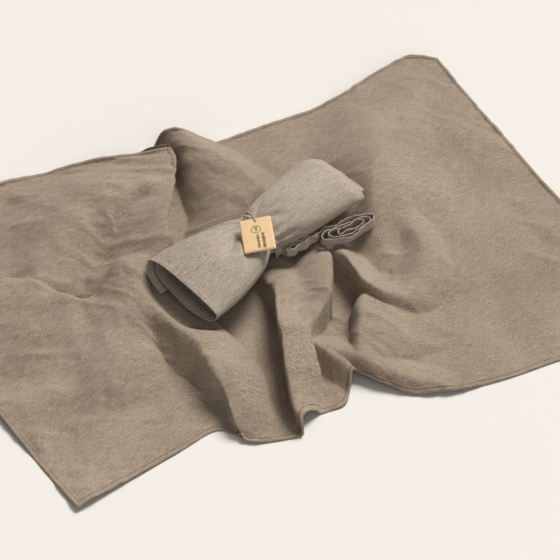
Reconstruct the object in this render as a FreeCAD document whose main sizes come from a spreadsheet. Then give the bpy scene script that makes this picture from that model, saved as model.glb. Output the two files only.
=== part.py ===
"""Baby wrap sling: a hemmed linen panel spread in loose folds, and a second length of wrap rolled up on it,
tied at the waist with flax twine that carries a card tag, with its narrow tie strap looped beside it.

Frame: +X along the panel's long edge, +Y towards its back hem, +Z up, origin on the floor under the middle
of the panel's box. Millimetres throughout.
"""
import FreeCAD, Part
import math
import os
import Sketcher

Vector = FreeCAD.Vector
Placement = FreeCAD.Placement
Rotation = FreeCAD.Rotation
Z_AXIS = Vector(0, 0, 1)

doc = FreeCAD.newDocument("baby_wrap_sling")

# ---------------------------------------------------------------- driving dimensions
DIMENSIONS = [
    ("cloth_lift", 3.0, "height of the flat panel, its turned hem lying on the floor"),
    ("fold_rise", 40.0, "rise of a full fold above the flat panel"),
    ("fold_spread", 100.0, "base width of a full fold"),
    ("hem_depth", 9.0, "distance of the hem seam from the edge"),
    ("thread_width", 0.9, "width of the hem stitching"),
    ("thread_lift", 0.4, "height of the hem stitching above the cloth"),
    ("roll_length", 360.0, "half the width of a 700 mm wrap, with its folds"),
    ("roll_width", 150.0, "across the open end"),
    ("roll_depth", 56.0, "thickness of the roll"),
    ("roll_rest", 34.0, "height of the roll's underside above the floor"),
    ("waist_width", 80.0, "across the roll where the twine pinches it"),
    ("waist_depth", 46.0, "thickness of the roll under the twine"),
    ("waist_station", -12.0, "place of the twine along the roll, from its middle"),
    ("twine_diameter", 2.0, "two-ply flax twine"),
    ("knot_length", 9.0, "knot, along the roll"),
    ("knot_height", 6.5, "knot, across and up"),
    ("tag_width", 50.0, "kraft card tag"),
    ("tag_height", 62.0, "kraft card tag"),
    ("tag_board", 0.6, "thickness of the card"),
    ("tag_hole", 4.0, "diameter of the punched hole"),
    ("hole_margin", 6.0, "from the tag's top edge to the hole's middle"),
    ("strap_height", 18.0, "finished width of the strap, which stands on its edge"),
    ("strap_ply", 2.0, "two layers of the strap's cloth"),
    ("strap_reach", 74.0, "distance between the strap's end turns"),
    ("strap_turn", 3.2, "radius of the innermost turn, at mid-thickness"),
    ("strap_pitch", 3.4, "distance from one loop to the next"),
]

sheet = doc.addObject("Spreadsheet::Sheet", "dimensions")
for row, (alias, value, note) in enumerate(DIMENSIONS, start=1):
    sheet.set(f"A{row}", alias)
    sheet.set(f"B{row}", str(value))
    sheet.set(f"C{row}", note)
    sheet.setAlias(f"B{row}", alias)
doc.recompute()

dim = {alias: float(sheet.get(alias)) for alias, value, note in DIMENSIONS}


# ---------------------------------------------------------------- helpers
def new_body(label):
    """An empty PartDesign body, which becomes one piece of the assembly."""
    body = doc.addObject("PartDesign::Body", label)
    body.Label = label
    return body


def origin_plane(body, role):
    """One of the body's own origin planes, by its role."""
    return next(item for item in body.Origin.OriginFeatures if item.Role == role)


def new_sketch(body, name, role="XY_Plane", offset=None):
    """A sketch on one of the body's origin planes, moved by an attachment offset."""
    sketch = body.newObject("Sketcher::SketchObject", name)
    sketch.AttachmentSupport = [(origin_plane(body, role), "")]
    sketch.MapMode = "FlatFace"
    if offset is not None:
        sketch.AttachmentOffset = offset
    return sketch


def bind(sketch, kind, references, value, alias_expression):
    """Adds a dimensional constraint and ties it to the spreadsheet."""
    index = sketch.addConstraint(Sketcher.Constraint(kind, *references, value))
    sketch.setExpression(f"Constraints[{index}]", alias_expression)


def add_polygon(sketch, points):
    """A closed outline of straight edges through the points."""
    count = len(points)
    for index, (x, y) in enumerate(points):
        x_next, y_next = points[(index + 1) % count]
        sketch.addGeometry(Part.LineSegment(Vector(x, y, 0), Vector(x_next, y_next, 0)), False)
    for index in range(count):
        sketch.addConstraint(Sketcher.Constraint("Coincident", index, 2, (index + 1) % count, 1))


def add_pad(body, name, sketch, length_expression):
    """A pad of the sketch, as high as the expression says."""
    pad = body.newObject("PartDesign::Pad", name)
    pad.Profile = sketch
    pad.setExpression("Length", length_expression)
    return pad


def rounded_route(points, radius_share=0.45):
    """Straight runs joined by tangent arcs, each as large as its two runs allow."""
    nodes = [Vector(*point) for point in points]
    edges, radii = [], []
    start = nodes[0]
    for before, corner, after in zip(nodes, nodes[1:], nodes[2:]):
        towards, away = (before - corner), (after - corner)
        reach = radius_share * min(towards.Length, away.Length)
        turn = math.pi - towards.getAngle(away)
        radius = reach / math.tan(turn / 2)
        towards.normalize()
        away.normalize()
        enter, leave = corner + towards * reach, corner + away * reach
        inward = (towards + away).normalize()
        middle = corner + inward * (radius / math.cos(turn / 2) - radius)
        edges.append(Part.LineSegment(start, enter).toShape())
        edges.append(Part.Arc(enter, middle, leave).toShape())
        radii.append(radius)
        start = leave
    edges.append(Part.LineSegment(start, nodes[-1]).toShape())
    return Part.Wire(edges), radii


def twine_tube(label, points, placement):
    """A round tube of twine along a rounded route."""
    route, radii = rounded_route(points)
    radius = dim["twine_diameter"] / 2
    direction = Vector(*points[1]) - Vector(*points[0])
    ring = Part.Wire(Part.Circle(Vector(*points[0]), direction, radius).toShape())
    tube = doc.addObject("Part::Feature", label)
    tube.Label = label
    tube.Shape = route.makePipeShell([ring], True, False)
    tube.Placement = placement
    expected = math.pi * radius ** 2 * route.Length
    print(f"{label}: length {route.Length:.1f}, volume {tube.Shape.Volume:.1f} of {expected:.1f}, "
          f"radii {[round(value, 1) for value in radii]}")
    return tube


# ---------------------------------------------------------------- the spread panel
# Corners and bends of the panel's edge as it lies, anticlockwise from the back left corner.
LEFT_BACK = (-544, 371)
LEFT_FRONT = (-399, -312)
RIGHT_FRONT = (544, -371)
RIGHT_BACK = (521, 326)
FRONT_LEFT_RUN = [LEFT_FRONT, (-165, -266)]
FRONT_PLEATS = [(-138, -290), (-41, -327), (28, -296), (50, -268)]
FRONT_RIGHT_RUN = [(132, -316), (225, -362), (361, -370), RIGHT_FRONT]
RIGHT_RUN = [RIGHT_FRONT, (539, -67), (533, 121), RIGHT_BACK]
BACK_RIGHT_RUN = [RIGHT_BACK, (470, 347), (391, 331), (302, 308), (101, 302)]
BACK_PLEAT = [(20, 334), (-60, 330)]
BACK_LEFT_RUN = [(-174, 351), (-281, 359), LEFT_BACK]
LEFT_RUN = [LEFT_BACK, (-444, -108), LEFT_FRONT]
OUTLINE = (LEFT_RUN[1:2] + FRONT_LEFT_RUN + FRONT_PLEATS + FRONT_RIGHT_RUN + RIGHT_RUN[1:3]
           + BACK_RIGHT_RUN + BACK_PLEAT + BACK_LEFT_RUN)

# Folds: stations of (x, y, share of fold_spread, share of fold_rise) along each crest.
FOLDS = {
    "left_panel": [(-42, 292, 0.8, 0.6), (-26, 250, 1.3, 1.1), (-44, 196, 1.5, 1.3),
                   (-78, 145, 1.4, 1.15), (-118, 104, 1.1, 0.8), (-152, 70, 0.8, 0.6)],
    "back_pleat": [(-22, 306, 0.8, 0.7), (10, 290, 0.9, 0.9), (44, 246, 1.0, 0.9), (84, 168, 0.9, 0.6)],
    "wave": [(-500, 160, 0.9, 0.3), (-364, 111, 1.3, 0.8), (-276, 56, 1.3, 0.7),
             (-205, 66, 1.2, 0.9), (-172, 20, 0.8, 0.7)],
    "upper_left": [(-240, 140, 1.0, 0.5), (-192, 180, 1.2, 0.8), (-120, 210, 1.2, 0.8)],
    "middle_left": [(-168, 0, 0.6, 0.7), (-156, -60, 0.8, 0.8), (-142, -140, 1.1, 0.95),
                    (-134, -205, 1.0, 0.65), (-134, -250, 0.8, 0.25)],
    "column": [(100, -86, 0.9, 0.8), (84, -125, 1.2, 1.05), (44, -171, 1.2, 1.0),
               (12, -230, 1.0, 0.7), (-6, -278, 0.8, 0.25)],
    "right_ridge": [(420, 300, 0.9, 0.25), (331, 204, 1.4, 0.5), (292, 112, 1.5, 0.7),
                    (268, 40, 1.3, 0.75), (240, -30, 1.0, 0.5)],
    "s_fold": [(168, -84, 0.8, 0.6), (160, -122, 0.9, 0.8), (204, -156, 1.0, 0.75),
               (280, -140, 0.9, 0.3)],
    "hem_curl": [(48, -206, 0.9, 0.4), (90, -254, 0.8, 0.45), (142, -296, 0.6, 0.3),
                 (200, -330, 0.5, 0.12)],
    "bed": [(-90, -18, 1.3, 0.6), (-20, 6, 2.0, 0.72), (60, 30, 2.2, 0.72),
            (150, 52, 2.2, 0.72), (215, 66, 1.5, 0.6)],
}
BLEND_POWER = 5
GRID_STEP = 20.0
GRID_MARGIN = 30.0


def fold_height(x, y, stations):
    """Rise of one fold above the flat cloth: a cosine arch around the nearest point of its crest."""
    best = 0.0
    for (x0, y0, spread0, rise0), (x1, y1, spread1, rise1) in zip(stations, stations[1:]):
        run_x, run_y = x1 - x0, y1 - y0
        share = ((x - x0) * run_x + (y - y0) * run_y) / (run_x ** 2 + run_y ** 2)
        share = min(max(share, 0.0), 1.0)
        away = math.hypot(x - x0 - share * run_x, y - y0 - share * run_y)
        half = (spread0 + (spread1 - spread0) * share) * dim["fold_spread"] / 2
        crest = (rise0 + (rise1 - rise0) * share) * dim["fold_rise"]
        if away < half:
            best = max(best, crest * math.cos(math.pi / 2 * away / half) ** 2)
    return best


def cloth_height(x, y):
    """Height of the cloth over a point of the floor, where its folds run into each other softly."""
    rises = [fold_height(x, y, stations) for stations in FOLDS.values()]
    return dim["cloth_lift"] + sum(rise ** BLEND_POWER for rise in rises) ** (1 / BLEND_POWER)


def grid_line(low, high):
    """Evenly spaced stations that pass both ends by the margin."""
    count = round((high - low + 2 * GRID_MARGIN) / GRID_STEP)
    step = (high - low + 2 * GRID_MARGIN) / count
    return [low - GRID_MARGIN + index * step for index in range(count + 1)]


outline_x = [x for x, y in OUTLINE]
outline_y = [y for x, y in OUTLINE]
grid = [[Vector(x, y, cloth_height(x, y)) for y in grid_line(min(outline_y), max(outline_y))]
        for x in grid_line(min(outline_x), max(outline_x))]
drape_surface = Part.BSplineSurface()
drape_surface.interpolate(grid)

block = new_body("panel_block")
block_outline = new_sketch(block, "panel_outline")
add_polygon(block_outline, OUTLINE)
add_pad(block, "panel_pad", block_outline, "dimensions.fold_rise * 2")
drape = doc.addObject("Part::Feature", "drape_block")
drape.Shape = drape_surface.toShape().extrude(Vector(0, 0, -2 * dim["fold_rise"]))
wrap = doc.addObject("Part::Common", "wrap_cloth")
wrap.Label = "wrap_cloth"
wrap.Base = block
wrap.Tool = drape


# ---------------------------------------------------------------- sewing thread of the hems
def seam_strip(points, inset, width):
    """Outline of a stitched line that follows an edge at a distance inside it."""
    def offset_side(distance):
        side = []
        for index, (x, y) in enumerate(points):
            before = points[max(index - 1, 0)]
            after = points[min(index + 1, len(points) - 1)]
            angle = math.atan2(after[1] - before[1], after[0] - before[0]) + math.pi / 2
            side.append((x + distance * math.cos(angle), y + distance * math.sin(angle)))
        return side
    return offset_side(inset) + offset_side(inset + width)[::-1]


def shortened(points, trim):
    """The same run, cut back at both ends so that it stops before the next hem."""
    def cut(end, inner):
        reach = math.hypot(inner[0] - end[0], inner[1] - end[1])
        share = trim / reach
        return (end[0] + (inner[0] - end[0]) * share, end[1] + (inner[1] - end[1]) * share)
    return [cut(points[0], points[1])] + points[1:-1] + [cut(points[-1], points[-2])]


THREAD_RUNS = {
    "left_end_thread": LEFT_RUN,
    "front_hem_thread_left": FRONT_LEFT_RUN,
    "front_hem_thread_right": FRONT_RIGHT_RUN[1:],
    "right_end_thread": RIGHT_RUN,
    "back_hem_thread_right": BACK_RIGHT_RUN,
    "back_hem_thread_left": BACK_LEFT_RUN,
}
THREAD_TRIM = 14.0

threads = []
for thread_label, run in THREAD_RUNS.items():
    thread = new_body(thread_label)
    strip = new_sketch(thread, f"{thread_label}_line", "XY_Plane", Placement(Vector(0, 0, 0), Rotation()))
    strip.setExpression("AttachmentOffset.Base.z", "dimensions.cloth_lift")
    add_polygon(strip, seam_strip(shortened(run, THREAD_TRIM), dim["hem_depth"], dim["thread_width"]))
    add_pad(thread, f"{thread_label}_stitches", strip, "dimensions.thread_lift")
    threads.append(thread)


# ---------------------------------------------------------------- the rolled wrap
ROLL_TURN = 16.6
ROLL_MIDDLE = Vector(46.4, 26.4, dim["roll_rest"])
ROLL_PLACE = Placement(ROLL_MIDDLE, Rotation(Z_AXIS, ROLL_TURN))

# Stations along the roll: (share of roll_length, share of roll_width, share of roll_depth, sideways shift).
ROLL_STATIONS = [
    (-0.50, 1.00, 0.80, -6.0),
    (-0.42, 0.99, 0.96, -6.0),
    (-0.27, 0.87, 1.00, -4.0),
    (-0.12, 0.68, 0.95, -2.0),
]
ROLL_STATIONS_RIGHT = [
    (0.05, 0.64, 0.96, 2.0),
    (0.21, 0.76, 1.00, 6.0),
    (0.38, 0.81, 0.98, 9.0),
    (0.50, 0.66, 0.56, 9.0),
]
OVAL_END = 0.62


def oval_section(body, name, station, width, depth, shift, texts):
    """A flattened round across the roll: four tangent arcs, flatter above and below, tighter at the sides."""
    sketch = new_sketch(body, name, "YZ_Plane", Placement(Vector(0, 0, station), Rotation()))
    sketch.setExpression("AttachmentOffset.Base.z", texts["station"])
    half_width, half_depth = width / 2, depth / 2
    end_radius = OVAL_END * half_depth
    reach = half_width - end_radius
    flat_radius = (reach ** 2 + half_depth ** 2 - end_radius ** 2) / (2 * (half_depth - end_radius))
    middle = dim["roll_depth"] / 2
    drop = flat_radius - half_depth
    join = math.atan2(drop, reach)
    for centre_x, centre_y, radius, start in [
            (shift, middle - drop, flat_radius, join),
            (shift - reach, middle, end_radius, math.pi - join),
            (shift, middle + drop, flat_radius, math.pi + join),
            (shift + reach, middle, end_radius, -join)]:
        sweep = math.pi - 2 * join if radius == flat_radius else 2 * join
        circle = Part.Circle(Vector(centre_x, centre_y, 0), Z_AXIS, radius)
        sketch.addGeometry(Part.ArcOfCircle(circle, start, start + sweep), False)
    for arc in range(4):
        sketch.addConstraint(Sketcher.Constraint("Tangent", arc, 2, (arc + 1) % 4, 1))
    end_text = f"(({texts['depth']}) / 2 * {OVAL_END})"
    reach_text = f"(({texts['width']}) / 2 - {end_text})"
    deep_text = f"(({texts['depth']}) / 2)"
    flat_text = f"({reach_text}^2 + {deep_text}^2 - {end_text}^2) / (2 * ({deep_text} - {end_text}))"
    for arc, radius, text in [(0, flat_radius, flat_text), (1, end_radius, end_text),
                              (2, flat_radius, flat_text), (3, end_radius, end_text)]:
        bind(sketch, "Radius", (arc,), radius, text)
    bind(sketch, "DistanceY", (-1, 1, 1, 3), middle, "dimensions.roll_depth / 2")
    bind(sketch, "DistanceY", (-1, 1, 3, 3), middle, "dimensions.roll_depth / 2")
    bind(sketch, "DistanceX", (1, 3, 3, 3), 2 * reach, f"2 * {reach_text}")
    bind(sketch, "DistanceX", (-1, 1, 3, 3), shift + reach, f"{shift} + {reach_text}")
    return sketch


def roll_section(name, share_along, share_wide, share_deep, shift):
    texts = {
        "station": f"dimensions.roll_length * {share_along}",
        "width": f"dimensions.roll_width * {share_wide}",
        "depth": f"dimensions.roll_depth * {share_deep}",
    }
    return oval_section(roll, name, dim["roll_length"] * share_along, dim["roll_width"] * share_wide,
                        dim["roll_depth"] * share_deep, shift, texts)


WAIST_SHIFT = -2.0
WAIST_TEXTS = {
    "station": "dimensions.waist_station",
    "width": "dimensions.waist_width",
    "depth": "dimensions.waist_depth",
}

roll = new_body("rolled_wrap")
roll_sections = [roll_section(f"roll_left_{i}", *values) for i, values in enumerate(ROLL_STATIONS)]
roll_sections.append(oval_section(roll, "roll_waist", dim["waist_station"], dim["waist_width"],
                                  dim["waist_depth"], WAIST_SHIFT, WAIST_TEXTS))
roll_sections += [roll_section(f"roll_right_{i}", *values) for i, values in enumerate(ROLL_STATIONS_RIGHT)]
roll_loft = roll.newObject("PartDesign::AdditiveLoft", "roll_loft")
roll_loft.Profile = roll_sections[0]
roll_loft.Sections = roll_sections[1:]
roll_loft.Ruled = True
roll.Placement = ROLL_PLACE

# ---------------------------------------------------------------- twine, knot and tails
TWINE_GAP = 0.5

loop = new_body("twine_loop")
loop_grow = 2 * (dim["twine_diameter"] / 2 + TWINE_GAP)
LOOP_GROW_TEXT = f"dimensions.twine_diameter + {2 * TWINE_GAP}"
loop_texts = {
    "station": "dimensions.waist_station",
    "width": f"(dimensions.waist_width + {LOOP_GROW_TEXT})",
    "depth": f"dimensions.waist_depth + {LOOP_GROW_TEXT}",
}
loop_route = oval_section(loop, "loop_route", dim["waist_station"], dim["waist_width"] + loop_grow,
                          dim["waist_depth"] + loop_grow, WAIST_SHIFT, loop_texts)
loop_low = dim["roll_depth"] / 2 - (dim["waist_depth"] + loop_grow) / 2
loop_profile = new_sketch(loop, "loop_profile", "XZ_Plane", Placement(Vector(0, 0, 0), Rotation()))
loop_profile.addGeometry(Part.Circle(Vector(dim["waist_station"], loop_low, 0), Z_AXIS,
                                     dim["twine_diameter"] / 2), False)
bind(loop_profile, "Radius", (0,), dim["twine_diameter"] / 2, "dimensions.twine_diameter / 2")
bind(loop_profile, "DistanceX", (0, 3, -1, 1), -dim["waist_station"], "-dimensions.waist_station")
bind(loop_profile, "DistanceY", (-1, 1, 0, 3), loop_low,
     f"dimensions.roll_depth / 2 - (dimensions.waist_depth + {LOOP_GROW_TEXT}) / 2")
doc.recompute()
loop_pipe = loop.newObject("PartDesign::AdditivePipe", "loop_pipe")
loop_pipe.Profile = loop_profile
loop_pipe.Spine = (loop_route, ["Edge1", "Edge2", "Edge3", "Edge4"])
loop.Placement = ROLL_PLACE

# The knot sits on the shoulder of the waist, towards the back.
KNOT_ACROSS = 26.0
waist_top = dim["roll_depth"] / 2 + dim["waist_depth"] / 2
knot_middle = Vector(dim["waist_station"], KNOT_ACROSS,
                     waist_top + dim["twine_diameter"] + dim["knot_height"] / 2)
knot = doc.addObject("Part::Ellipsoid", "twine_knot")
knot.Label = "twine_knot"
knot.setExpression("Radius1", "dimensions.knot_height / 2")
knot.setExpression("Radius2", "dimensions.knot_length / 2")
knot.setExpression("Radius3", "dimensions.knot_height / 2")
knot.Placement = ROLL_PLACE.multiply(Placement(knot_middle, Rotation()))

LONG_TAIL = [(-17.0, 27.0, 56.5), (-32.0, 34.5, 58.5), (-50.0, 41.0, 57.5), (-68.0, 49.5, 54.5),
             (-84.0, 53.5, 53.0), (-99.0, 58.5, 49.5)]
SHORT_TAIL = [(-8.0, 28.0, 57.0), (-3.5, 31.5, 59.0), (0.0, 36.5, 59.5), (2.0, 42.0, 58.0)]
long_tail = twine_tube("twine_long_tail", LONG_TAIL, ROLL_PLACE)
short_tail = twine_tube("twine_short_tail", SHORT_TAIL, ROLL_PLACE)

# ---------------------------------------------------------------- card tag
TAG_TURN = -16.0
TAG_TILT = 10.0
TAG_LEAN = -8.0
TAG_HOLE_PLACE = Vector(28.0, 16.4, 97.9)

tag = new_body("kraft_tag")
tag_face = new_sketch(tag, "tag_face")
half_width = dim["tag_width"] / 2
tag_low = dim["hole_margin"] - dim["tag_height"]
add_polygon(tag_face, [(-half_width, tag_low), (half_width, tag_low),
                       (half_width, dim["hole_margin"]), (-half_width, dim["hole_margin"])])
for edge, kind in [(0, "Horizontal"), (2, "Horizontal"), (1, "Vertical"), (3, "Vertical")]:
    tag_face.addConstraint(Sketcher.Constraint(kind, edge))
bind(tag_face, "DistanceX", (0, 1, 0, 2), dim["tag_width"], "dimensions.tag_width")
bind(tag_face, "DistanceX", (-1, 1, 1, 2), half_width, "dimensions.tag_width / 2")
bind(tag_face, "DistanceY", (1, 1, 1, 2), dim["tag_height"], "dimensions.tag_height")
bind(tag_face, "DistanceY", (-1, 1, 1, 2), dim["hole_margin"], "dimensions.hole_margin")
add_pad(tag, "tag_board", tag_face, "dimensions.tag_board")
hole_face = new_sketch(tag, "hole_face")
hole_face.addGeometry(Part.Circle(Vector(0, 0, 0), Z_AXIS, dim["tag_hole"] / 2), False)
hole_face.addConstraint(Sketcher.Constraint("Coincident", 0, 3, -1, 1))
bind(hole_face, "Diameter", (0,), dim["tag_hole"], "dimensions.tag_hole")
doc.recompute()
punch = tag.newObject("PartDesign::Pocket", "punched_hole")
punch.Profile = hole_face
punch.Type = "ThroughAll"
punch.Reversed = True
tag_turn = Rotation(Z_AXIS, TAG_TURN).multiply(
    Rotation(Vector(1, 0, 0), TAG_TILT).multiply(Rotation(Vector(0, 1, 0), TAG_LEAN)))
tag.Placement = Placement(TAG_HOLE_PLACE, tag_turn)

# ---------------------------------------------------------------- tie strap
# The strap stands on its edge and winds into three flat loops, then runs back along the roll.
STRAP_MIDDLE = Vector(178.0, -16.0, 36.0)
STRAP_TURN = 4.0
STRAP_LOOPS = 3
STRAP_LEAD = 62.0


def winding_side(offset):
    """One face of the wound strap, as edges from its inner end to its outer end."""
    half_reach = dim["strap_reach"] / 2
    pitch = dim["strap_pitch"]
    edges = []
    for lap in range(STRAP_LOOPS):
        radius = dim["strap_turn"] + lap * pitch
        outer = radius + offset
        edges.append(Part.Arc(Vector(half_reach, -outer, 0), Vector(half_reach + outer, 0, 0),
                              Vector(half_reach, outer, 0)).toShape())
        if lap == STRAP_LOOPS - 1:
            break
        edges.append(Part.LineSegment(Vector(half_reach, outer, 0),
                                      Vector(-half_reach, outer, 0)).toShape())
        turn_middle, turn_outer = -pitch / 2, radius + pitch / 2 + offset
        edges.append(Part.Arc(Vector(-half_reach, outer, 0),
                              Vector(-half_reach - turn_outer, turn_middle, 0),
                              Vector(-half_reach, turn_middle - turn_outer, 0)).toShape())
        edges.append(Part.LineSegment(Vector(-half_reach, turn_middle - turn_outer, 0),
                                      Vector(half_reach, turn_middle - turn_outer, 0)).toShape())
    last = dim["strap_turn"] + (STRAP_LOOPS - 1) * pitch + offset
    edges.append(Part.LineSegment(Vector(half_reach, last, 0),
                                  Vector(-half_reach - STRAP_LEAD, last, 0)).toShape())
    return edges


inner_side = winding_side(-dim["strap_ply"] / 2)
outer_side = winding_side(dim["strap_ply"] / 2)
inner_start, outer_start = inner_side[0].Vertexes[0].Point, outer_side[0].Vertexes[0].Point
inner_stop, outer_stop = inner_side[-1].Vertexes[-1].Point, outer_side[-1].Vertexes[-1].Point
start_cap = Part.LineSegment(inner_start, outer_start).toShape()
stop_cap = Part.LineSegment(inner_stop, outer_stop).toShape()
strap_edges = Part.sortEdges(inner_side + outer_side + [start_cap, stop_cap])[0]
strap_loop = Part.Wire(strap_edges)
strap = doc.addObject("Part::Feature", "tie_strap")
strap.Label = "tie_strap"
strap.Shape = Part.Face(strap_loop).extrude(Vector(0, 0, dim["strap_height"]))
strap.Placement = Placement(STRAP_MIDDLE, Rotation(Z_AXIS, STRAP_TURN))

# ---------------------------------------------------------------- check and write
doc.recompute()
for item in doc.Objects:
    if "Invalid" in item.State or "Error" in item.State:
        raise RuntimeError(f"{item.Name} failed: {item.State}")

pieces = [wrap] + threads + [roll, loop, knot, long_tail, short_tail, tag, strap]
os.makedirs("parts", exist_ok=True)
for piece in pieces:
    if piece.Shape.isNull() or not piece.Shape.isValid():
        raise RuntimeError(f"{piece.Label} has no valid shape")
for piece in pieces:
    piece.Shape.exportStep(f"parts/{piece.Label}.step")
    box = piece.Shape.optimalBoundingBox(False)
    print(f"{piece.Label}: volume {piece.Shape.Volume:.0f}, solids {len(piece.Shape.Solids)}, "
          f"x {box.XMin:.1f}..{box.XMax:.1f}, y {box.YMin:.1f}..{box.YMax:.1f}, "
          f"z {box.ZMin:.1f}..{box.ZMax:.1f}")
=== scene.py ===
"""Looks of a linen baby wrap: a hemmed panel spread in soft folds, and a rolled, twine-tied wrap on it."""
import math

import bpy
import numpy as np
from mathutils import Matrix, Vector


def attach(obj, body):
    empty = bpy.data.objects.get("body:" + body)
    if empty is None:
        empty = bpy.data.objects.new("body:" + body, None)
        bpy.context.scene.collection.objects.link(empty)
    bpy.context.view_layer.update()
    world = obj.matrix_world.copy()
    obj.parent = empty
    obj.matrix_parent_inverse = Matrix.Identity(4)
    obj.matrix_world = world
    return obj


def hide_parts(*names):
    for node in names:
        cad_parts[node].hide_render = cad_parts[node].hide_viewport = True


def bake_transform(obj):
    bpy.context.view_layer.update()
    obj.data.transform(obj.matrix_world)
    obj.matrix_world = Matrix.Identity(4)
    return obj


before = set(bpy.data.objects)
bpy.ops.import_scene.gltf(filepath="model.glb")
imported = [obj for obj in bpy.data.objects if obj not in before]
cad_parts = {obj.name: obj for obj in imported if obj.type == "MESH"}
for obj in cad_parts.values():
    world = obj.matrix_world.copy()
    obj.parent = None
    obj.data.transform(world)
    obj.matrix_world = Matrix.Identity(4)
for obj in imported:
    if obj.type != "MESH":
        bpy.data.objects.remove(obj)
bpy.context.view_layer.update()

MM = 0.001
PANEL_BODY, ROLL_BODY, TAG_BODY = "spread_panel", "tied_roll", "tag"
UV_NAME = "cloth"


# ------------ small helpers
def spline(points, count):
    """Samples of a Catmull-Rom curve through the points, as many between each two, ends included."""
    keys = np.array(points, float)
    keys = np.vstack([2 * keys[0] - keys[1], keys, 2 * keys[-1] - keys[-2]])
    place = np.linspace(0, len(points) - 1, count)
    index = np.minimum(place.astype(int), len(points) - 2)
    part = (place - index)[:, None]
    p0, p1, p2, p3 = (keys[index + shift] for shift in range(4))
    return 0.5 * (2 * p1 + (p2 - p0) * part + (2 * p0 - 5 * p1 + 4 * p2 - p3) * part ** 2
                  + (3 * p1 - p0 - 3 * p2 + p3) * part ** 3)


def even_spline(points, count):
    """Samples of the same curve at equal distances along it."""
    return evened(spline(points, 40 * len(points)), count)


def distances_along(line):
    steps = np.linalg.norm(np.diff(line, axis=0), axis=1)
    return np.concatenate([[0], np.cumsum(steps)])


def evened(line, count):
    """Points at equal distances along a line of many short steps."""
    along = distances_along(line)
    wanted = np.linspace(0, along[-1], count)
    return np.stack([np.interp(wanted, along, line[:, axis]) for axis in range(line.shape[1])], axis=1)


def unit_tangents(line):
    tangent = np.gradient(line, axis=0)
    return tangent / np.linalg.norm(tangent, axis=1, keepdims=True)


def plan_sides(line):
    """Unit directions to the left of a line in plan."""
    tangent = unit_tangents(line)
    return np.column_stack([-tangent[:, 1], tangent[:, 0]])


def smoothstep(low, high, value):
    part = np.clip((value - low) / (high - low), 0, 1)
    return part * part * (3 - 2 * part)


def new_object(name, data):
    obj = bpy.data.objects.new(name, data)
    bpy.context.scene.collection.objects.link(obj)
    return obj


def grid_mesh(name, points, uv, closed_v=False):
    """A mesh of quads over a grid of points (rows, columns, 3), with UVs in metres of cloth."""
    rows, columns = points.shape[:2]
    index = np.arange(rows * columns).reshape(rows, columns)
    if closed_v:
        index = np.hstack([index, index[:, :1]])
    faces = np.stack([index[:-1, :-1], index[:-1, 1:], index[1:, 1:], index[1:, :-1]], axis=-1).reshape(-1, 4)
    mesh = bpy.data.meshes.new(name)
    mesh.from_pydata(points.reshape(-1, 3).tolist(), [], faces.tolist())
    layer = mesh.uv_layers.new(name=UV_NAME)
    loops = np.zeros(len(mesh.loops), dtype=np.int32)
    mesh.loops.foreach_get("vertex_index", loops)
    layer.data.foreach_set("uv", uv.reshape(-1, 2)[loops].astype(np.float32).ravel())
    mesh.polygons.foreach_set("use_smooth", np.ones(len(mesh.polygons), dtype=bool))
    mesh.update()
    return mesh


# ------------ the spread panel
PANEL_WIDTH = 0.70
PANEL_LENGTH = 1.28
PANEL_STEP = 0.0034
CLOTH_THICKNESS = 0.0009
CLOTH_REST = 0.0012
EDGE_SAMPLES = 400
STITCH_LINE = 0.0080
# Distances of the grid's lines from the cloth's edge, inside the turned hem.
HEM_LINES = (0.0, 0.0012, 0.0028, 0.0050, 0.0072, STITCH_LINE, 0.0088, 0.0098, 0.0108, 0.0135)
HEM_EDGE = (0.0088, 0.0102)

BACK_EDGE = [(-544, 371), (-281, 359), (-174, 351), (-110, 340), (-50, 326), (10, 322), (47, 305),
             (101, 302), (187, 306), (302, 308), (391, 331), (446, 345), (478, 347), (521, 326)]
FRONT_EDGE = [(-399, -312), (-233, -278), (-165, -264), (-137, -288), (-110, -309), (-86, -319),
              (-57, -327), (-44, -325), (-29, -305), (-7, -301), (28, -301), (48, -280), (64, -260),
              (81, -276), (105, -303), (132, -327), (168, -341), (204, -351), (281, -359), (365, -361),
              (544, -371)]
LEFT_EDGE = [(-544, 371), (-500, 150), (-444, -108), (-399, -312)]
RIGHT_EDGE = [(521, 326), (533, 121), (539, -67), (544, -371)]

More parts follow.
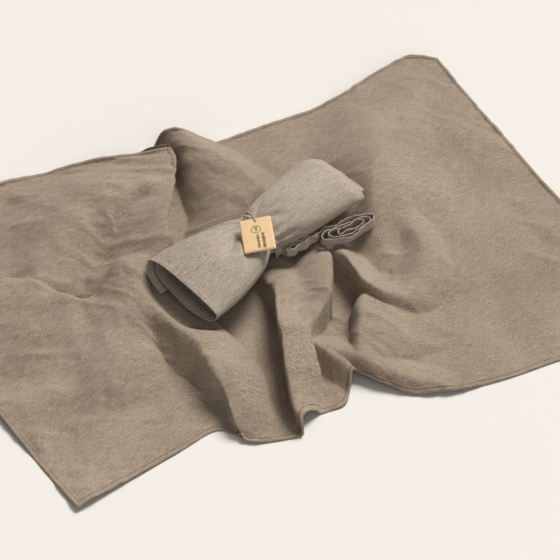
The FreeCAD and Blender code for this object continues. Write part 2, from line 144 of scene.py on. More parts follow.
# Folds, each a list of stations along its crest, in millimetres: (x, y, height, reach on the left, reach on
# the right), then how far the crest leans in x and y where it leans. Left and right are as seen when going
# along the stations in order.
FOLDS = {
    "left_panel": [
        (-134, 10, 30, 90, 30), (-118, 55, 48, 110, 20, 6, -2), (-106, 78, 53, 120, 18, 10, -3),
        (-102, 110, 56, 130, 16, 16, -4), (-90, 150, 58, 140, 15, 24, -6), (-74, 208, 59, 150, 15, 38, -14),
        (-64, 262, 58, 150, 15, 50, -30), (-64, 316, 56, 150, 15, 56, -54),
        (-66, 370, 54, 150, 15, 56, -54)],
    "back_pleat": [
        (108, 90, 24, 150, 60), (92, 138, 40, 158, 60, -2, 0), (76, 193, 50, 114, 60, -8, 0),
        (50, 262, 54, 74, 55, -13, 0), (26, 312, 50, 50, 45, -10, 0), (6, 350, 45, 40, 45, -6, 0)],
    "wave": [
        (-545, 172, 12, 30, 200), (-460, 150, 26, 26, 220, 0, 2), (-376, 118, 34, 24, 230, 0, 6),
        (-334, 104, 35, 22, 230, 0, 7), (-294, 62, 34, 20, 220, 0, 8), (-266, 27, 33, 20, 210, 0, 8),
        (-242, 23, 34, 20, 200, 0, 9), (-220, 26, 37, 22, 180, 0, 9), (-199, 39, 44, 24, 150, 0, 10),
        (-180, 50, 50, 26, 130, 2, 10), (-158, 30, 54, 26, 110, 4, 4)],
    "middle_left": [
        (-124, -302, 4, 14, 60, -13, 0), (-124, -273, 24, 18, 58, -14, 0), (-121, -241, 38, 24, 58, -15, 0),
        (-119, -199, 46, 32, 62, -14, 0), (-121, -151, 52, 44, 64, -13, 0),
        (-128, -113, 56, 60, 60, -10, 0), (-135, -70, 58, 76, 52, -6, 0), (-145, -33, 58, 100, 44, -2, 0),
        (-153, 4, 57, 130, 36), (-160, 40, 55, 140, 28)],
    "column_left": [
        (40, -16, 20, 60, 40), (35, -46, 36, 64, 28, -5, 0), (31, -72, 46, 64, 22, -9, 0),
        (22, -107, 51, 60, 17, -14, 0), (4, -162, 52, 46, 14, -16, 0), (-13, -215, 48, 38, 14, -16, 0),
        (-28, -266, 40, 32, 14, -15, 0), (-37, -304, 25, 28, 15, -12, 0), (-43, -332, 8, 24, 17, -5, 0)],
    "column_right": [
        (126, -14, 26, 30, 60), (118, -46, 42, 18, 66, 6, 0), (102, -84, 52, 14, 66, 10, 0),
        (83, -113, 53, 13, 64, 11, 2), (65, -139, 51, 13, 54, 11, 0), (35, -162, 48, 13, 42, 11, 0),
        (19, -180, 45, 13, 34, 11, 0), (9, -213, 42, 13, 30, 10, 0), (-2, -250, 35, 13, 26, 9, 0),
        (-13, -280, 21, 13, 22, 7, 0), (-26, -300, 7, 14, 18, 3, 0)],
    "s_fold": [
        (152, -24, 30, 36, 26, -4, 0), (158, -58, 44, 40, 20, -9, 0), (161, -94, 48, 44, 17, -13, 0),
        (162, -122, 48, 50, 17, -14, 2), (168, -142, 45, 62, 18, -10, 0), (180, -158, 41, 76, 22, -5, 0),
        (203, -158, 35, 84, 40), (236, -144, 30, 80, 46), (262, -112, 30, 70, 46), (278, -72, 30, 56, 46),
        (278, -28, 26, 50, 46), (264, 6, 20, 46, 46)],
    "fold_corner": [
        (26, -180, 18, 20, 20), (36, -200, 24, 20, 22), (46, -228, 27, 22, 24), (60, -256, 23, 22, 26),
        (66, -275, 14, 20, 26)],
    "hem_curl": [
        (34, -186, 22, 40, 30), (58, -217, 27, 50, 32, 0, -2), (88, -256, 26, 54, 32, 0, -2),
        (117, -289, 20, 54, 30, 0, -2), (162, -320, 13, 48, 26, 0, -2), (190, -340, 8, 44, 22, 0, -2),
        (221, -350, 3, 40, 16)],
    "right_ridge": [
        (220, -56, 20, 50, 60), (230, -20, 30, 60, 80, -2, 0), (246, 20, 40, 60, 110, -4, 0),
        (273, 74, 43, 70, 140, -6, 2), (307, 138, 37, 120, 160, -4, 2), (354, 216, 28, 140, 170),
        (421, 296, 22, 120, 150), (476, 350, 14, 100, 120)],
    "upper_left": [
        (-318, 70, 28, 70, 44), (-304, 98, 37, 90, 60), (-284, 130, 43, 110, 78), (-258, 168, 47, 120, 92),
        (-226, 208, 50, 130, 104), (-186, 234, 52, 120, 116), (-150, 236, 53, 110, 116),
        (-122, 226, 53, 80, 84), (-104, 214, 53, 34, 34)],
    "far_left_ridge": [
        (-470, 180, 10, 80, 40), (-376, 130, 20, 90, 40), (-330, 136, 24, 90, 34), (-288, 138, 24, 80, 26)],
    "slope_ridge": [
        (-184, 44, 46, 84, 60), (-196, 10, 45, 84, 84), (-218, -26, 42, 84, 96), (-246, -62, 37, 86, 100),
        (-274, -96, 30, 88, 96), (-300, -124, 21, 84, 84), (-330, -150, 10, 70, 66)],
    "low_crease": [
        (-212, -92, 24, 50, 60), (-240, -116, 22, 50, 70), (-280, -128, 20, 60, 80),
        (-330, -124, 18, 70, 90), (-384, -112, 16, 80, 90), (-430, -88, 12, 70, 80),
        (-470, -60, 6, 60, 60)],
    "bed": [
        (-110, -14, 18, 30, 20), (-20, 20, 30, 32, 18), (80, 46, 31, 40, 24), (170, 64, 31, 46, 46),
        (225, 76, 22, 50, 50)],
    "front_slope": [
        (148, -134, 32, 120, 14), (129, -158, 36, 150, 14), (113, -188, 36, 160, 15),
        (98, -216, 31, 140, 17), (88, -242, 24, 110, 20), (84, -262, 12, 80, 20)],
}
# How each side of a fold falls, as (outer power, inner power): the left side's pair, then the right side's.
SOFT_SIDE, WALL_SIDE, FULL_SIDE = (1.6, 1.7), (2.3, 1.0), (2.0, 1.35)
DEFAULT_CREST = (*SOFT_SIDE, *SOFT_SIDE)
CREST_SHAPE = {
    "bed": (4.0, 2.0, 4.0, 2.0), "wave": (*FULL_SIDE, 1.25, 1.5), "upper_left": (*SOFT_SIDE, 2.6, 1.0),
    "left_panel": (*SOFT_SIDE, *WALL_SIDE), "middle_left": (*SOFT_SIDE, 2.6, 1.0),
    "column_left": (*FULL_SIDE, *WALL_SIDE), "column_right": (*WALL_SIDE, *FULL_SIDE),
    "s_fold": (*SOFT_SIDE, *WALL_SIDE), "back_pleat": (2.2, 1.0, *SOFT_SIDE),
    "slope_ridge": (1.9, 1.3, *SOFT_SIDE), "front_slope": (*SOFT_SIDE, *WALL_SIDE),
}
# How far from its crest a fold still leans. The others lean over their whole reach.
LEAN_SPREAD = {"column_left": 20, "column_right": 20}
WIDE_LEAN = 1e3
LEAN_FALL = 1.5
BLEND_POWER = 4.0
LEAN_POWER = 1.5

# What rests on the panel, as ovals: two under the roll and two under the strap, each (middle x, middle y,
# half length, half width, turn in degrees).
RESTING = [(46.4, 26.4, 182, 72, 16.6), (-66, -22, 84, 82, 16.6), (178, -16, 52, 17, 4.0),
           (98, -12, 36, 14, 4.0)]
RESTING_HEIGHT = 32.0
RESTING_SLOPE = 1.5
OVAL_POWER = 3
HOLD_POWER = 6.0


def fold_field(name, stations, plan):
    """Height and lean that one fold gives to points of the floor plan (N, 2), in millimetres."""
    route = spline([(*station, 0, 0)[:7] for station in stations], 6 * len(stations))
    best = np.full(len(plan), np.inf)
    values = np.zeros((len(plan), 5))
    side = np.zeros(len(plan))
    for first, second in zip(route, route[1:]):
        run = second[:2] - first[:2]
        length = math.hypot(*run)
        offset = plan - first[:2]
        share = np.clip(offset @ run / length ** 2, 0, 1)
        gap = offset - share[:, None] * run
        away = np.hypot(gap[:, 0], gap[:, 1])
        closer = away < best
        best[closer] = away[closer]
        side[closer] = ((run[0] * gap[:, 1] - run[1] * gap[:, 0]) / (length * np.maximum(away, 1e-6)))[closer]
        values[closer] = (first[2:] + share[:, None] * (second[2:] - first[2:]))[closer]
    # Round the ends the reach passes steadily from one side's to the other's.
    reach = values[:, 1] * (1 + side) / 2 + values[:, 2] * (1 - side) / 2
    outer_left, inner_left, outer_right, inner_right = CREST_SHAPE.get(name, DEFAULT_CREST)
    outer = outer_left * (1 + side) / 2 + outer_right * (1 - side) / 2
    inner = inner_left * (1 + side) / 2 + inner_right * (1 - side) / 2
    profile = np.clip(1 - (best / reach) ** outer, 0, 1) ** inner
    fall = profile ** LEAN_FALL * np.exp(-(best / LEAN_SPREAD.get(name, WIDE_LEAN)) ** 2)
    return np.maximum(values[:, 0], 0) * profile, values[:, 3:5] * fall[:, None]


def panel_shares():
    """Places of the grid lines across and along the cloth: close together in the hems, even between them."""
    def lines(length):
        hem = np.array(HEM_LINES)
        inside = np.linspace(hem[-1], length - hem[-1], round((length - 2 * hem[-1]) / PANEL_STEP) + 1)
        return np.concatenate([hem[:-1], inside, length - hem[:-1][::-1]])
    return lines(PANEL_WIDTH), lines(PANEL_LENGTH)


def panel_plan(across, along):
    """Floor plan of the panel before its folds lean: a patch between its four edges, in millimetres."""
    def edge(points, places, length):
        fine = even_spline(points, EDGE_SAMPLES)
        share = places / length * (EDGE_SAMPLES - 1)
        index = np.minimum(share.astype(int), EDGE_SAMPLES - 2)
        part = (share - index)[:, None]
        return fine[index] * (1 - part) + fine[index + 1] * part
    back, front = edge(BACK_EDGE, along, PANEL_LENGTH), edge(FRONT_EDGE, along, PANEL_LENGTH)
    left, right = edge(LEFT_EDGE, across, PANEL_WIDTH), edge(RIGHT_EDGE, across, PANEL_WIDTH)
    s = (along / PANEL_LENGTH)[None, :, None]
    t = (across / PANEL_WIDTH)[:, None, None]
    ruled = (1 - t) * back[None] + t * front[None] + (1 - s) * left[:, None] + s * right[:, None]
    corners = (1 - t) * ((1 - s) * back[0] + s * back[-1]) + t * ((1 - s) * front[0] + s * front[-1])
    return ruled - corners


def room_below(plan):
    """Greatest height the panel may take under and beside the things that rest on it."""
    room = np.full(len(plan), 1e3)
    for x, y, half_length, half_width, turn in RESTING:
        angle = math.radians(turn)
        offset = plan - (x, y)
        along = offset @ (math.cos(angle), math.sin(angle)) / half_length
        across = offset @ (-math.sin(angle), math.cos(angle)) / half_width
        size = (np.abs(along) ** OVAL_POWER + np.abs(across) ** OVAL_POWER) ** (1 / OVAL_POWER)
        outside = np.maximum(size - 1, 0) * half_width
        room = np.minimum(room, RESTING_HEIGHT + RESTING_SLOPE * outside)
    return room


NOISE_CELLS = 256


def smooth_noise(x, y, seed):
    """Smooth values between -1 and 1 over the plane, from one random value at each corner of its cells."""
    table = np.random.default_rng(seed).uniform(-1, 1, (NOISE_CELLS, NOISE_CELLS))
    column, row = np.floor(x).astype(int), np.floor(y).astype(int)
    fx, fy = x - column, y - row
    fx, fy = fx * fx * (3 - 2 * fx), fy * fy * (3 - 2 * fy)
    corner = [table[(row + dy) % NOISE_CELLS, (column + dx) % NOISE_CELLS] for dy in (0, 1) for dx in (0, 1)]
    return (corner[0] * (1 - fx) + corner[1] * fx) * (1 - fy) + (corner[2] * (1 - fx) + corner[3] * fx) * fy


def grid_normals(points):
    """Unit normals of a grid of points, most of them upwards."""
    normal = np.cross(np.gradient(points, axis=1), np.gradient(points, axis=0))
    normal /= np.linalg.norm(normal, axis=2, keepdims=True) + 1e-12
    return normal * np.sign(normal[..., 2:3].mean())


def folded_points(plan):
    """Heights and leans of all the folds, run into each other softly."""
    flat = plan.reshape(-1, 2)
    fields = [fold_field(name, stations, flat) for name, stations in FOLDS.items()]
    height = sum(rise ** BLEND_POWER for rise, push in fields) ** (1 / BLEND_POWER)
    own_share = [(rise / np.maximum(height, 1e-6)) ** LEAN_POWER for rise, push in fields]
    moved = flat + sum(push * share[:, None] for (rise, push), share in zip(fields, own_share))
    room = room_below(flat)
    held_down = (np.maximum(height, 1) ** -HOLD_POWER + room ** -HOLD_POWER) ** (-1 / HOLD_POWER)
    height = np.where(height > 1, held_down, height)
    return np.column_stack([moved, height]).reshape(*plan.shape[:2], 3) * MM + (0, 0, CLOTH_REST)


def cloth_uv(along, across):
    """Cloth coordinates in metres, from distances along the cloth and across it."""
    return np.stack(np.meshgrid(along, across), axis=-1)


def rumple(points, across, along):
    """Small creases of washed linen, pushed out along the cloth's own normals."""
    u, v = np.meshgrid(along, across)
    warp = 0.03 * smooth_noise(u * 9, v * 9, 1)
    turned_u, turned_v = 0.9 * u + 0.43 * v + warp, -0.43 * u + 0.9 * v - warp
    push = 0.0036 * smooth_noise(u * 7 + 3, v * 7, 2)
    push += 0.0026 * smooth_noise((u + warp) * 8, (v + warp) * 20, 3)
    push += 0.0012 * smooth_noise(turned_u * 34, turned_v * 12, 4)
    push += 0.0015 * (1 - 2 * np.abs(smooth_noise(turned_u * 13 + 7, turned_v * 28, 5)))
    push += 0.0005 * smooth_noise(u * 75, v * 110, 6)
    push *= 1.5 - 0.6 * smoothstep(0.45, 0.75, u)
    clear = smoothstep(RESTING_HEIGHT, 2 * RESTING_HEIGHT, room_below(points[..., :2].reshape(-1, 2) / MM))
    push *= 0.3 + 0.7 * clear.reshape(u.shape)
    lifted = points + grid_normals(points) * push[..., None]
    lifted[..., 2] = np.maximum(lifted[..., 2], CLOTH_REST + 0.25 * push)
    return lifted


def hem_relief(points, across, along):
    """The turned hem on all four edges: a thicker band, a groove along its seam and small puckers."""
    u, v = np.meshgrid(along, across)
    from_side = np.minimum(u, PANEL_LENGTH - u)
    from_long = np.minimum(v, PANEL_WIDTH - v)
    depth = np.minimum(from_side, from_long)
    run = np.where(from_side < from_long, v, u)
    band = smoothstep(0.0, 0.0016, depth) * (1 - smoothstep(*HEM_EDGE, depth))
    groove = np.exp(-((depth - STITCH_LINE) / 0.0007) ** 2)
    pucker = smooth_noise(run * 85, depth * 90 + 11, 7)
    push = 0.0018 * band - 0.0015 * groove + 0.0009 * pucker * (1 - smoothstep(0.009, 0.022, depth))
    return points + grid_normals(points) * push[..., None]


def thicken(obj, thickness):
    """Give a sheet its thickness, half of it on either side."""
    modifier = obj.modifiers.new("thickness", "SOLIDIFY")
    modifier.thickness = thickness
    modifier.offset = 0.0


def make_panel():
    """The spread panel, with the grid of its points for the stitches."""
    across, along = panel_shares()
    points = rumple(folded_points(panel_plan(across, along)), across, along)
    points = hem_relief(points, across, along)
    points[..., 2] = np.maximum(points[..., 2], CLOTH_REST)
    panel = new_object("wrap_panel", grid_mesh("wrap_panel", points, cloth_uv(along, across)))
    thicken(panel, CLOTH_THICKNESS)
    return panel, points, across, along


STITCH_PITCH = 0.0042
STITCH_LENGTH = 0.0027
STITCH_RADIUS = 0.00034
STITCH_LIFT = 0.0001
STITCH_SIDES = 6
FIRST_STITCH = 0.006
# Rings of one stitch: (share of its length, share of its radius).
STITCH_RINGS = ((0.0, 0.35), (0.25, 1.0), (0.75, 1.0), (1.0, 0.35))


def sample_grid(points, across, along, v, u):
    """Points of the cloth at distances v across it and u along it."""
    row = np.clip(np.searchsorted(across, v) - 1, 0, len(across) - 2)
    column = np.clip(np.searchsorted(along, u) - 1, 0, len(along) - 2)
    fv = ((v - across[row]) / (across[row + 1] - across[row]))[:, None]
    fu = ((u - along[column]) / (along[column + 1] - along[column]))[:, None]
    near = points[row, column] * (1 - fu) + points[row, column + 1] * fu
    far = points[row + 1, column] * (1 - fu) + points[row + 1, column + 1] * fu
    return near * (1 - fv) + far * fv


def make_stitches(points, across, along):
    """Running stitches along the seams of the hems, as small capsules."""
    normals = grid_normals(points)
    starts = []
    for v in (STITCH_LINE, PANEL_WIDTH - STITCH_LINE):
        u = np.arange(FIRST_STITCH, PANEL_LENGTH - FIRST_STITCH, STITCH_PITCH)
        starts.append((np.full_like(u, v), u, 0, 1))
    for u in (STITCH_LINE, PANEL_LENGTH - STITCH_LINE):
        v = np.arange(FIRST_STITCH, PANEL_WIDTH - FIRST_STITCH, STITCH_PITCH)
        starts.append((v, np.full_like(v, u), 1, 0))
    rings, faces, base = [], [], 0
    for v, u, step_v, step_u in starts:
        first = sample_grid(points, across, along, v, u)
        last = sample_grid(points, across, along, v + step_v * STITCH_LENGTH, u + step_u * STITCH_LENGTH)
        up = sample_grid(normals, across, along, v, u)
        up /= np.linalg.norm(up, axis=1, keepdims=True)
        run = last - first
        run /= np.linalg.norm(run, axis=1, keepdims=True)
        side = np.cross(run, up)
        raised = up * (CLOTH_THICKNESS / 2 + STITCH_LIFT)
        for place, size in STITCH_RINGS:
            middle = first * (1 - place) + last * place + raised
            for angle in np.linspace(0, 2 * math.pi, STITCH_SIDES, endpoint=False):
                offset = side * math.cos(angle) * 1.3 + up * math.sin(angle) * 0.8
                rings.append(middle + offset * STITCH_RADIUS * size)
        count = len(u)
        last_ring = len(STITCH_RINGS) - 1
        # One stitch's faces, by its corners counted round each ring in turn, then the same for the others.
        shapes = []
        for ring in range(last_ring):
            low, high = ring * STITCH_SIDES, (ring + 1) * STITCH_SIDES
            for corner in range(STITCH_SIDES):
                after = (corner + 1) % STITCH_SIDES
                shapes.append((low + corner, low + after, high + after, high + corner))
        for ring in (0, last_ring):
            shapes.append(range(ring * STITCH_SIDES, (ring + 1) * STITCH_SIDES))
        for shape in shapes:
            faces += [[base + corner * count + stitch for corner in shape] for stitch in range(count)]
        base += len(STITCH_RINGS) * STITCH_SIDES * count
    mesh = bpy.data.meshes.new("hem_stitches")
    mesh.from_pydata(np.vstack(rings).tolist(), [], faces)
    return new_object("hem_stitches", mesh)


# ------------ the rolled wrap
ROLL_TURN = math.radians(16.6)
ROLL_PLACE = Matrix.Translation(Vector((46.4, 26.4, 34)) * MM) @ Matrix.Rotation(ROLL_TURN, 4, "Z")
ROLL_LENGTH = 360
ROLL_THICKNESS = 0.0013
WAIST = -12.0
ROLL_SQUARENESS = 0.88

# Stations along the roll, in millimetres: (place, half width, half depth, shift sideways, centre height).
ROLL_STATIONS = [(-184, 83, 22.5, -14, 28), (-151, 81, 26, -13, 28), (-97, 72, 28, -10, 28),
                 (-43, 55, 27, -5, 28), (-24, 42, 24, -2, 28), (-12, 39, 22.5, -2, 28), (0, 41, 24, -1, 28),
                 (18, 48, 27, 2, 28), (76, 58, 28.5, 6, 28), (137, 63, 27.5, 8, 28), (166, 61, 23, 6, 26),
                 (184, 55, 14, 4, 22)]
ROLL_TURNS = 2.6
TURN_LENGTH = 0.29
POINTS_FOR_A_TURN = 110
UV_STEPS = 400
# Where the cloth's outer edge lies round the roll, in degrees from the roll's back towards its top.
FIRST_ANGLE = -70
# Gap between one turn and the next, in millimetres: (place, gap).
ROLL_LAYER_GAP = [(-184, 10.5), (-150, 7.5), (-110, 4.5), (-40, 1.6), (-12, 1.1), (20, 1.6), (120, 3.0),
                  (184, 3.0)]

# Creases that run from the waist: (start place, start angle, end place, end angle, width in degrees, depth).
ROLL_CREASES = [(-16, 66, -112, 102, 12, 8.0), (-16, 56, -100, 62, 8, 5.5), (-16, 84, -100, 150, 13, 7.5),
                (-16, 48, -56, 26, 9, 4.0), (-8, 60, 58, 84, 9, 5.5), (-8, 74, 46, 116, 9, 5.0),
                (-8, 50, 44, 44, 8, 4.0), (-14, 158, -60, 170, 8, 4.0), (-14, 186, -54, 196, 8, 4.5),
                (-8, 164, 48, 158, 8, 4.5), (-8, 190, 50, 184, 8, 4.5), (-8, 214, 40, 214, 8, 3.5)]


def roll_points(places, turns):
    """Points of the rolled cloth in the roll's own frame, in millimetres, at places along it and turns."""
    fine = spline(ROLL_STATIONS, 200)
    order = np.argsort(fine[:, 0])
    half_width, half_depth, shift, height = (np.interp(places, fine[order, 0], fine[order, axis])
                                             for axis in (1, 2, 3, 4))
    gap_keys = np.array(ROLL_LAYER_GAP, float)
    gap = np.interp(places, gap_keys[:, 0], gap_keys[:, 1])
    angle = math.radians(FIRST_ANGLE) + turns * 2 * math.pi
    inset = gap * turns * (1 + 0.5 * np.sin(angle) ** 2 + 0.35 * np.cos(angle))
    degrees = np.degrees(angle) % 360
    cosine, sine = np.cos(angle), np.sin(angle)
    wide = np.maximum(half_width - inset, 4) * np.sign(cosine) * np.abs(cosine) ** ROLL_SQUARENESS
    deep = np.maximum(half_depth - 0.8 * inset, 1.2) * np.sign(sine) * np.abs(sine) ** ROLL_SQUARENESS
    # Gathers run out from the tied waist and fade along the roll.
    near_waist = np.exp(-(np.abs(places - WAIST) / 46) ** 1.4)
    folds = smooth_noise(degrees / 19 + 0.004 * places, places / 90 + 5, 21)
    folds = folds + 0.6 * smooth_noise(degrees / 9, places / 60, 22)
    push = near_waist * (1.2 - 4.6 * np.abs(folds))
    for start, start_angle, end, end_angle, width, depth in ROLL_CREASES:
        part = (places - start) / (end - start)
        line = start_angle + (end_angle - start_angle) * np.clip(part, 0, 1)
        off = (degrees - line + 180) % 360 - 180
        fade = smoothstep(0.0, 0.12, part) * (1 - smoothstep(0.4, 1.0, part))
        push = push - 1.5 * depth * fade * np.exp(-(off / width) ** 2)
    soft = 2.2 * smooth_noise(places / 70, degrees / 50 + 9, 23)
    soft = soft + 0.9 * smooth_noise(places / 26, degrees / 24, 24)
    push = push + (soft - 1.2) * (1 - 0.6 * near_waist)
    push = push + 0.35 * smooth_noise(places / 9, degrees / 7, 25)
    length = np.hypot(wide, deep) + 1e-6
    wide, deep = wide * (1 + push / length), deep * (1 + push / length)
    return np.stack([places, wide + shift, deep + height], axis=-1)


def placed(points, place):
    """Points in a piece's own frame, in millimetres, moved to where the piece lies, in metres."""
    flat = points.reshape(-1, 3) * MM
    turned = flat @ np.array(place.to_3x3()).T + np.array(place.translation)
    return turned.reshape(points.shape)


def make_roll():
    """The wrap, folded in half and rolled up flat: one sheet wound a few turns, open at its left end."""
    hem = [0, 0.003, 0.008, 0.016, 0.021, 0.025, 0.029]
    share = np.concatenate([hem, np.linspace(0.036, 0.975, 112), [0.982, 0.99, 1.0]])
    turns = np.linspace(0, ROLL_TURNS, round(ROLL_TURNS * POINTS_FOR_A_TURN))
    share, turns = np.meshgrid(share, turns, indexing="ij")
    angle = turns * 360
    upward = np.sin(np.radians(angle + FIRST_ANGLE))
    above, below = np.clip(upward, 0, 1), np.clip(-upward, 0, 1)
    # At the open end the outer turn's lower lip reaches further out, and the inner turns sit further in.
    left = -182 + 9.0 * turns - 15.0 * below * (turns < 1.2) + 1.5 * smooth_noise(angle / 40, turns * 3, 31)
    left = left + np.sin(np.radians(angle) / 2)
    right = 165 + 4.6 * turns + 9.0 * above + 3.2 * smooth_noise(angle / 33, turns * 5 + 3, 32)
    places = left * (1 - share) + right * share
    points = roll_points(places, turns)
    # The inner turns close up at the right end, where the cloth is tucked in.
    tuck = smoothstep(0.93, 1.0, share) * (0.25 + 0.22 * turns)
    points[..., 2] += (20 - points[..., 2]) * np.clip(tuck, 0, 0.85)
    # The hem at the open end stands proud, with a groove along its seam.
    from_end = places - left
    band = (1 - smoothstep(8.6, 10.2, from_end)) - 0.9 * np.exp(-((from_end - 8.2) / 0.9) ** 2)
    points = placed(points, ROLL_PLACE)
    normal = grid_normals(points)
    outward = np.sign(np.sum(normal * (points - points.mean(axis=1, keepdims=True)), axis=-1, keepdims=True))
    points += normal * outward * (0.0007 * band)[..., None]
    around = np.linspace(0, ROLL_TURNS * TURN_LENGTH, points.shape[1])
    along = np.linspace(0, ROLL_LENGTH * MM, UV_STEPS)[np.rint(share[:, 0] * (UV_STEPS - 1)).astype(int)]
    uv = np.stack(np.meshgrid(along, around, indexing="ij"), axis=-1)
    roll = new_object("roll_cloth", grid_mesh("roll_cloth", points, uv))
    thicken(roll, ROLL_THICKNESS)
    return roll


# ------------ the strap beside the roll
STRAP_ROUTE = [(54, -15), (60, -9), (68, -13), (80, -6), (93, -8), (104, -2), (115, -2), (122, -5),
               (117, -9), (106, -7), (97, -12), (84, -11), (74, -16), (66, -17), (67, -21), (78, -22),
               (88, -17), (100, -17), (110, -12), (121, -11), (130, -5), (141, 3), (160, 0), (186, 4),
               (212, 2), (226, -5), (219, -18), (200, -24), (172, -32), (145, -29), (127, -22), (133, -8),
               (158, -5), (187, 0), (208, -3), (214, -11), (202, -19), (177, -24), (152, -27), (138, -17),
               (149, -7), (174, -8), (196, -5), (204, -12), (190, -18), (171, -17), (156, -21), (159, -12)]
STRAP_BOTTOM, STRAP_TOP = 36.4, 53.5
STRAP_WIDTH = 0.018
STRAP_THICKNESS = 0.0016
# Distances along the strap between which its crumpling fades out, in millimetres.
CRUMPLE_FADE = (60, 110)


def make_strap():
    """A narrow gathered band on its edge: a crumpled lead from the waist, then flat loops."""
    route = even_spline(STRAP_ROUTE, 380)
    rows = np.linspace(0, 1, 9)
    along = np.arange(len(route)) * np.linalg.norm(np.diff(route, axis=0), axis=1).mean()
    side = plan_sides(route)
    crumple = 1 - smoothstep(*CRUMPLE_FADE, along)
    place, row = np.meshgrid(along, rows, indexing="ij")
    loose = (0.7 + 2.4 * crumple)[:, None]
    wide_sway = 0.9 * smooth_noise(place / 9, row * 1.5, 41)
    sway = loose * (wide_sway + 1.1 * row * smooth_noise(place / 5.5, row * 2 + 4, 42))
    low = STRAP_BOTTOM + 1.2 * np.abs(smooth_noise(along / 20, 0, 43)) - 3.0 * crumple
    high = STRAP_TOP - 2.0 + 1.6 * smooth_noise(along / 7, 0, 44) - 2.0 * crumple
    high = high + 2.5 * crumple * smooth_noise(along / 11, 0, 45)
    height = low[:, None] * (1 - row) + high[:, None] * row
    lie = (6.0 + 5.0 * crumple)[:, None] * smooth_noise(place / 38, 2, 46)
    sway = sway + lie * row
    plan = route[:, None, :] + side[:, None, :] * sway[..., None]
    points = np.concatenate([plan, height[..., None]], axis=-1) * MM
    uv = np.stack(np.meshgrid(along * MM, rows * STRAP_WIDTH, indexing="ij"), axis=-1)
    strap = new_object("strap_band", grid_mesh("strap_band", points, uv))
    thicken(strap, STRAP_THICKNESS)
    return strap


# ------------ the twine
CORE_RADIUS = 0.00076
STRAND_RADIUS = 0.00062
STRAND_AWAY = 0.00046
STRANDS = 2
TWIST_PITCH = 0.0042
FIBRE_RADIUS, FRAY_RADIUS = 0.00007, 0.0001
KNOT_MIDDLE = (-12, 26, 56.25)
LONG_TAIL = [(-17, 27, 56.5), (-32, 34.5, 58.5), (-50, 41, 57.5), (-68, 49.5, 54.5), (-84, 53.5, 53),
             (-99, 58.5, 49.5)]
SHORT_TAIL = [(-8, 28, 57), (-3.5, 31.5, 59), (0, 36.5, 59.5), (2, 42, 58)]
# The bight through the card's hole, in the card's own frame.
TAG_TWINE = [(-7.2, 21, -4.6), (-3.4, 13, 0.4), (-1.2, 7.5, 1.6), (-0.2, 3, 1.4), (0.0, 0, 0.2),
             (-0.6, 2, -1.6), (-2.2, 8, -2.4), (-6.0, 18, -5.6)]


def place_on_roll(points):
    return [ROLL_PLACE @ (Vector(point) * MM) for point in points]


def route_curve(name, points, radius):
    """A NURBS curve of order three from the first control point to the last, with a round section."""
    curve = bpy.data.curves.new(name, "CURVE")
    curve.dimensions = "3D"
    curve.resolution_u = 12
    curve.bevel_depth = radius
    curve.bevel_resolution = 3
    curve.use_fill_caps = True
    line = curve.splines.new("NURBS")
    line.points.add(len(points) - 1)
    for point, place in zip(line.points, points):
        point.co = (*place, 1)
    line.order_u = 3
    line.use_endpoint_u = True
    return new_object(name, curve)


def route_points(name, points, count):
    """Evenly spaced points of that curve, read from the same curve without its section."""
    guide = route_curve(name + "_guide", points, 0.0)
    mesh = bpy.data.meshes.new_from_object(guide)
    line = np.array([vertex.co[:] for vertex in mesh.vertices])
    guide_curve = guide.data
    bpy.data.objects.remove(guide)
    bpy.data.curves.remove(guide_curve)
    bpy.data.meshes.remove(mesh)
    return evened(line, count)


def moving_frame(line):
    """Tangents and two sideways directions that turn as little as possible along a line."""
    tangent = unit_tangents(line)
    first = np.cross(tangent[0], (0, 0, 1.0))
    if np.linalg.norm(first) < 1e-3:
        first = np.cross(tangent[0], (0, 1.0, 0))
    sides = [first / np.linalg.norm(first)]
    for direction in tangent[1:]:
        turned = sides[-1] - direction * np.dot(sides[-1], direction)
        sides.append(turned / np.linalg.norm(turned))
    side = np.array(sides)
    return tangent, side, np.cross(tangent, side)


def tube_points(line, radius, around):
    """Rings of points about a line, as a grid (line, around, 3). The radius may change along the line."""
    _, side, other = moving_frame(line)
    angle = np.linspace(0, 2 * math.pi, around, endpoint=False)
    size = np.broadcast_to(radius, (len(line),))[:, None, None]
    ring = side[:, None] * np.cos(angle)[None, :, None] + other[:, None] * np.sin(angle)[None, :, None]
    return line[:, None] + ring * size


def strand_lines(line, away):
    """Lines twisted about a line, at a distance from it."""
    _, side, other = moving_frame(line)
    along = distances_along(line)
    lines = []
    for strand in range(STRANDS):
        angle = (2 * math.pi * (along / TWIST_PITCH + strand / STRANDS))[:, None]
        lines.append(line + away * (side * np.cos(angle) + other * np.sin(angle)))
    return lines


def join_grids(name, grids):
    """One mesh of several closed tubes."""
    points, faces = [], []
    base = 0
    for grid in grids:
        rows, columns = grid.shape[:2]
        index = base + np.arange(rows * columns).reshape(rows, columns)
        after = np.roll(index, -1, axis=1)
        faces += np.stack([index[:-1], after[:-1], after[1:], index[1:]], axis=-1).reshape(-1, 4).tolist()
        faces += [index[0][::-1].tolist(), index[-1].tolist()]
        points.append(grid.reshape(-1, 3))
        base += rows * columns
    mesh = bpy.data.meshes.new(name)
    mesh.from_pydata(np.vstack(points).tolist(), [], faces)
    mesh.polygons.foreach_set("use_smooth", np.ones(len(mesh.polygons), dtype=bool))
    return new_object(name, mesh)


